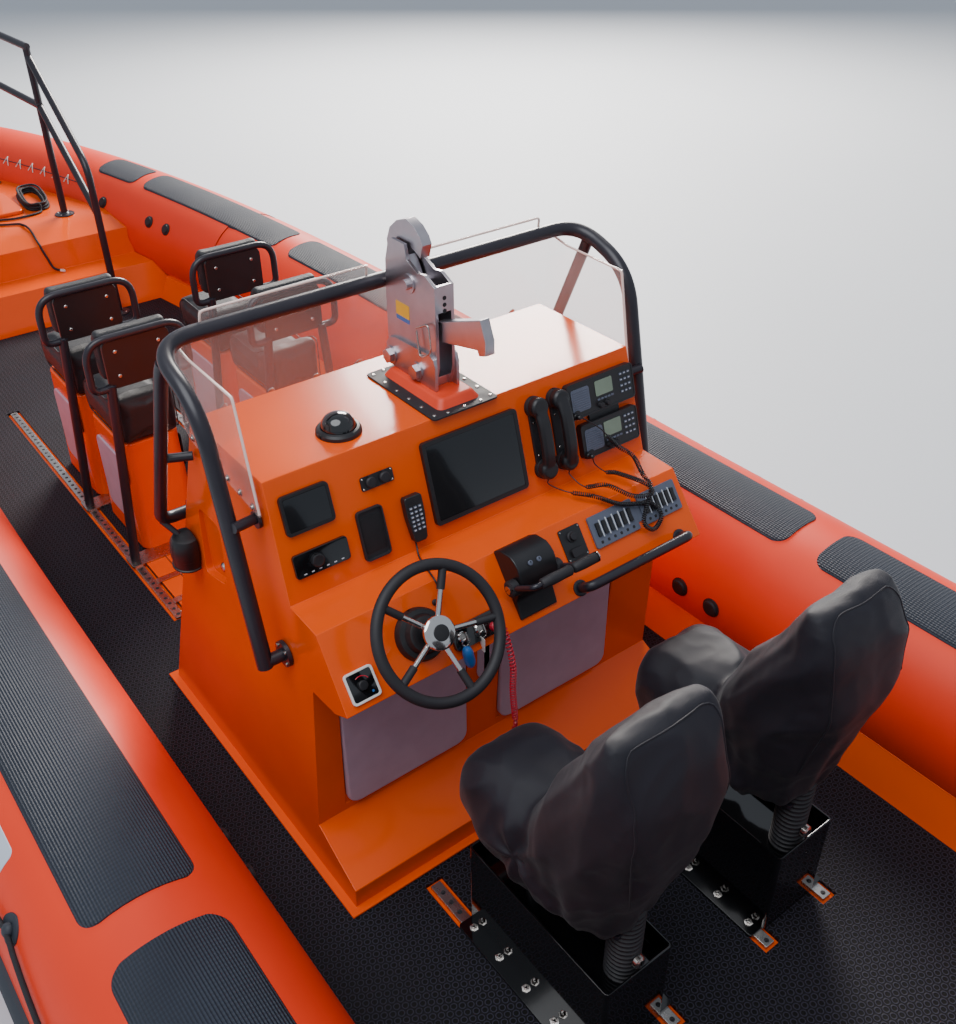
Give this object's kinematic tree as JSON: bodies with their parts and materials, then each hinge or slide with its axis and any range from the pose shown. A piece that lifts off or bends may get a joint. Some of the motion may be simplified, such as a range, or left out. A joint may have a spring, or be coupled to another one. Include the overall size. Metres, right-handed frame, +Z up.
{
  "type": "inshore rescue boat",
  "caption": "Rigid inflatable rescue boat: deep-V hull, fat collar, helm console with covered seats, jockey seats, bow rail and tilting outboards.",
  "frame": {"origin": "on the waterline, on the centreline, under the lifting hook", "axes": "+X towards the bow, +Y to port, +Z up"},
  "size_m": [10.3314, 3.106, 2.6296],
  "materials": {
    "collar_fabric": "satin coated fabric",
    "orange_moulding": "glossy laminate",
    "deck_mat": "perforated ring matting",
    "black_tube": "satin powder coat",
    "black_vinyl": "matt vinyl",
    "black_plastic": "satin",
    "gloss_black": "gloss",
    "cover_fabric": "matt proofed cloth",
    "clear_acrylic": "clear",
    "stainless": "polished",
    "engine_paint": "gloss",
    "black_rope": "braided",
    "coiled_cord": "satin",
    "red_cord": "gloss"
  },
  "bodies": {
    "boat": {"bow_rail": "black_tube", "collar_bow": "collar_fabric", "collar_port": "collar_fabric", "collar_starboard": "collar_fabric", "compass": "black_plastic", "console": "orange_moulding", "console_frame": "black_tube", "dash_grab_rail": "black_tube", "deck_liner": "orange_moulding", "deck_mat": "deck_mat", "display_main": "gloss_black", "display_small": "gloss_black", "engine_clamp_port": "engine_paint", "engine_clamp_starboard": "engine_paint", "foredeck": "orange_moulding", "handset_cord_inboard": "coiled_cord", "handset_cord_outboard": "coiled_cord", "handset_inboard": "black_plastic", "handset_outboard": "black_plastic", "helm_boss": "black_plastic", "helm_pedestal_port": "gloss_black", "helm_pedestal_starboard": "gloss_black", "helm_seat_cover_port": "cover_fabric", "helm_seat_cover_starboard": "cover_fabric", "hook_gasket": "orange_moulding", "hull": "orange_moulding", "ignition_panel": "gloss_black", "keypad_mic": "black_plastic", "kill_cord": "red_cord", "lifeline_port": "black_rope", "lifeline_starboard": "black_rope", "lifting_hook": "stainless", "mic_cord": "coiled_cord", "radios": "black_plastic", "rope_hank": "black_rope", "rope_tail": "black_rope", "seat_back_front_port": "black_vinyl", "seat_back_front_starboard": "black_vinyl", "seat_back_rear_port": "black_vinyl", "seat_back_rear_starboard": "black_vinyl", "seat_bases_port": "orange_moulding", "seat_bases_starboard": "orange_moulding", "seat_saddle_front_port": "black_vinyl", "seat_saddle_front_starboard": "black_vinyl", "seat_saddle_rear_port": "black_vinyl", "seat_saddle_rear_starboard": "black_vinyl", "stereo": "black_plastic", "switch_panels": "black_plastic", "throttle": "black_plastic", "windscreen": "clear_acrylic"},
    "hatch_lid": {"foredeck_hatch": "orange_moulding"},
    "hook_release": {"hook_lever": "stainless"},
    "helm": {"helm_wheel": "black_plastic"},
    "swivel_port": {"engine_swivel_port": "engine_paint"},
    "engine_port": {"outboard_port": "engine_paint"},
    "screw_port": {"propeller_port": "stainless"},
    "swivel_starboard": {"engine_swivel_starboard": "engine_paint"},
    "engine_starboard": {"outboard_starboard": "engine_paint"},
    "screw_starboard": {"propeller_starboard": "stainless"}
  },
  "joints": [
    {"name": "hatch_hinge", "type": "hinge", "parent": "boat", "child": "hatch_lid", "pos_m": [5.18, 0, 0.6543], "axis": [0, 1, 0], "range_deg": [0, 100]},
    {"name": "hook_release_pivot", "type": "hinge", "parent": "boat", "child": "hook_release", "pos_m": [-0.12, 0, 1.6576], "axis": [0, 1, 0], "range_deg": [-35, 0]},
    {"name": "helm_turn", "type": "hinge", "parent": "boat", "child": "helm", "pos_m": [-0.60869, 0.367, 1.11575], "axis": [-0.8011, 0, 0.5986], "range_deg": [-540, 540]},
    {"name": "tilt_port", "type": "hinge", "parent": "boat", "child": "swivel_port", "pos_m": [-2.98, 0.35, 0.35], "axis": [0, 1, 0], "range_deg": [0, 65]},
    {"name": "steer_port", "type": "hinge", "parent": "swivel_port", "child": "engine_port", "pos_m": [-3.09, 0.35, 0.2], "axis": [0, 0, -1], "range_deg": [-30, 30]},
    {"name": "screw_spin_port", "type": "hinge", "parent": "engine_port", "child": "screw_port", "pos_m": [-3.46, 0.35, -0.5], "axis": [1, 0, 0], "continuous": true},
    {"name": "tilt_starboard", "type": "hinge", "parent": "boat", "child": "swivel_starboard", "pos_m": [-2.98, -0.35, 0.35], "axis": [0, 1, 0], "range_deg": [0, 65]},
    {"name": "steer_starboard", "type": "hinge", "parent": "swivel_starboard", "child": "engine_starboard", "pos_m": [-3.09, -0.35, 0.2], "axis": [0, 0, -1], "range_deg": [-30, 30]},
    {"name": "screw_spin_starboard", "type": "hinge", "parent": "engine_starboard", "child": "screw_starboard", "pos_m": [-3.46, -0.35, -0.5], "axis": [1, 0, 0], "continuous": true}
  ],
  "couplings": [
    {"joint": "steer_port", "follows": "helm_turn", "ratio": 0.055556},
    {"joint": "steer_starboard", "follows": "helm_turn", "ratio": 0.055556}
  ]
}
